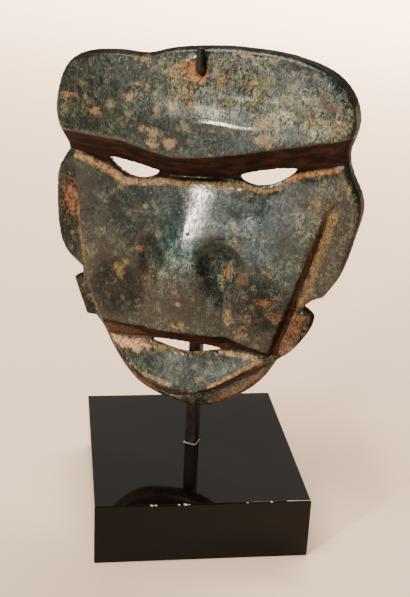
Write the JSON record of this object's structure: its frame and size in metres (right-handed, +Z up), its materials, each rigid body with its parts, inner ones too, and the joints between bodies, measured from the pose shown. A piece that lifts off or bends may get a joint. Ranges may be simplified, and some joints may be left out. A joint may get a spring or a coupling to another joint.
{
  "type": "stone pendant mask on a display stand",
  "caption": "Carved dark green stone face mask with slit eyes and mouth, hung by a drilled hole on the bent pin of a square steel bar that stands in a polished black block.",
  "frame": {"origin": "middle of the block's underside", "axes": "+Z up along the bar, the mask faces -Y and is square to the axes, the block is turned 29 degrees under it"},
  "size_m": [0.1252, 0.122, 0.1927],
  "materials": {
    "green_stone": "polished, mottled dark green with tan inclusions",
    "polished_black": "high gloss",
    "blackened_steel": "blackened, satin"
  },
  "bodies": {
    "root": {"mask": "green_stone", "base_block": "polished_black", "post": "blackened_steel", "hook_pin": "blackened_steel"}
  },
  "joints": []
}
